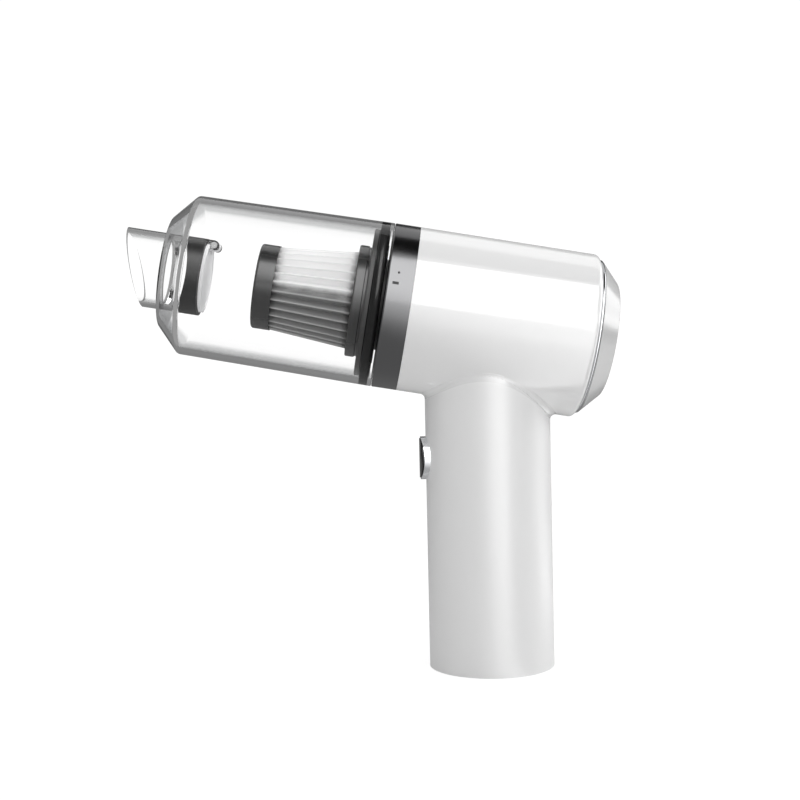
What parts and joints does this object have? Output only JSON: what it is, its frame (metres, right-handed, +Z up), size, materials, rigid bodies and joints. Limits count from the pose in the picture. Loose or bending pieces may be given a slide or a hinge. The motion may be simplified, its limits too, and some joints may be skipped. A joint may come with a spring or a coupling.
{
  "type": "mini vacuum cleaner",
  "caption": "Cordless hand vacuum shaped like a pistol, with a clear dust cup, a pleated filter, a slanted inlet tube and a round handle that it stands on.",
  "frame": {"origin": "centre of the flat end of the handle, on which it stands", "axes": "+Z up the handle, -X towards the inlet tube, +Y across, -Y is the side that the picture shows"},
  "size_m": [0.1636, 0.0556, 0.1607],
  "materials": {
    "white_abs": "moulded, gloss",
    "gunmetal_plating": "satin metallic plating",
    "chrome_plating": "polished plating",
    "black_abs": "moulded, fine texture",
    "gloss_black_abs": "moulded, gloss",
    "dark_abs": "moulded, satin",
    "grey_abs": "moulded",
    "ivory_nylon": "moulded",
    "pale_nylon": "moulded",
    "clear_cup": "clear moulded styrene",
    "clear_light_pipe": "clear moulded",
    "flap_silicone": "translucent silicone",
    "sleeve_rubber": "moulded rubber",
    "black_rubber": "moulded rubber",
    "filter_paper": "pleated filter paper",
    "steel": "plain steel",
    "nickel": "nickel strip",
    "ferrite": "sintered ferrite",
    "carbon": "pressed carbon",
    "bronze": "sintered bronze",
    "copper": "enamelled copper",
    "circuit_board": "solder mask",
    "cell_wrap": "shrink wrap",
    "wire_insulation": "PVC insulation"
  },
  "bodies": {
    "housing": {"left_shell": "white_abs", "right_shell": "white_abs", "collar": "gunmetal_plating", "intake_grille": "black_abs", "fan_cover": "grey_abs", "motor_bracket": "grey_abs", "motor_screws": "steel", "motor_can": "steel", "motor_end_bell": "ivory_nylon", "motor_magnets": "ferrite", "motor_bushes": "bronze", "motor_brushes": "carbon", "motor_damper": "black_rubber", "trim_ring": "chrome_plating", "rear_cap": "white_abs", "exhaust_grille": "grey_abs", "foot_cap": "white_abs", "button_bezel": "chrome_plating", "tact_switch": "black_abs", "switch_board": "circuit_board", "charge_board": "circuit_board", "board_screws": "steel", "usb_socket": "steel", "charge_light": "clear_light_pipe", "battery_cells": "cell_wrap", "cell_tabs": "nickel", "cell_holder_top": "black_abs", "cell_holder_bottom": "black_abs", "motor_leads": "wire_insulation"},
    "rotor": {"motor_shaft": "steel", "armature_core": "steel", "armature_windings": "copper", "commutator": "copper", "impeller": "grey_abs"},
    "button": {"button_cap": "gloss_black_abs", "switch_plunger": "black_abs"},
    "carrier": {"filter_carrier": "dark_abs", "cup_gasket": "black_rubber"},
    "cartridge": {"filter_cap": "dark_abs", "filter_media": "filter_paper", "filter_core": "dark_abs", "filter_frame": "dark_abs"},
    "cup": {"dust_cup": "clear_cup", "inlet_sleeve": "sleeve_rubber", "flap_pin": "pale_nylon"},
    "flap": {"flap_valve": "flap_silicone"}
  },
  "joints": [
    {"name": "rotor_spin", "type": "hinge", "parent": "housing", "child": "rotor", "pos_m": [0.00335, 0, 0.11644], "axis": [0.9851, 0, -0.1719], "continuous": true},
    {"name": "button_press", "type": "slide", "parent": "housing", "child": "button", "axis": [1, 0, 0], "range_m": [0, 0.001], "stiffness_N_per_m": 300, "springref_m": -0.002},
    {"name": "carrier_turn", "type": "hinge", "parent": "housing", "child": "carrier", "pos_m": [-0.03408, 0, 0.12298], "axis": [0.9851, 0, -0.1719], "range_deg": [0, 35]},
    {"name": "cup_slide", "type": "slide", "parent": "carrier", "child": "cup", "axis": [-0.9851, 0, 0.1719], "range_m": [0, 0.075]},
    {"name": "filter_turn", "type": "hinge", "parent": "carrier", "child": "cartridge", "pos_m": [-0.03802, 0, 0.12366], "axis": [0.9851, 0, -0.1719], "range_deg": [0, 45]},
    {"name": "flap_swing", "type": "hinge", "parent": "cup", "child": "flap", "pos_m": [-0.09053, 0, 0.14388], "axis": [0, -1, 0], "range_deg": [0, 40], "stiffness_Nm_per_rad": 0.0002, "springref_deg": -34.38}
  ]
}
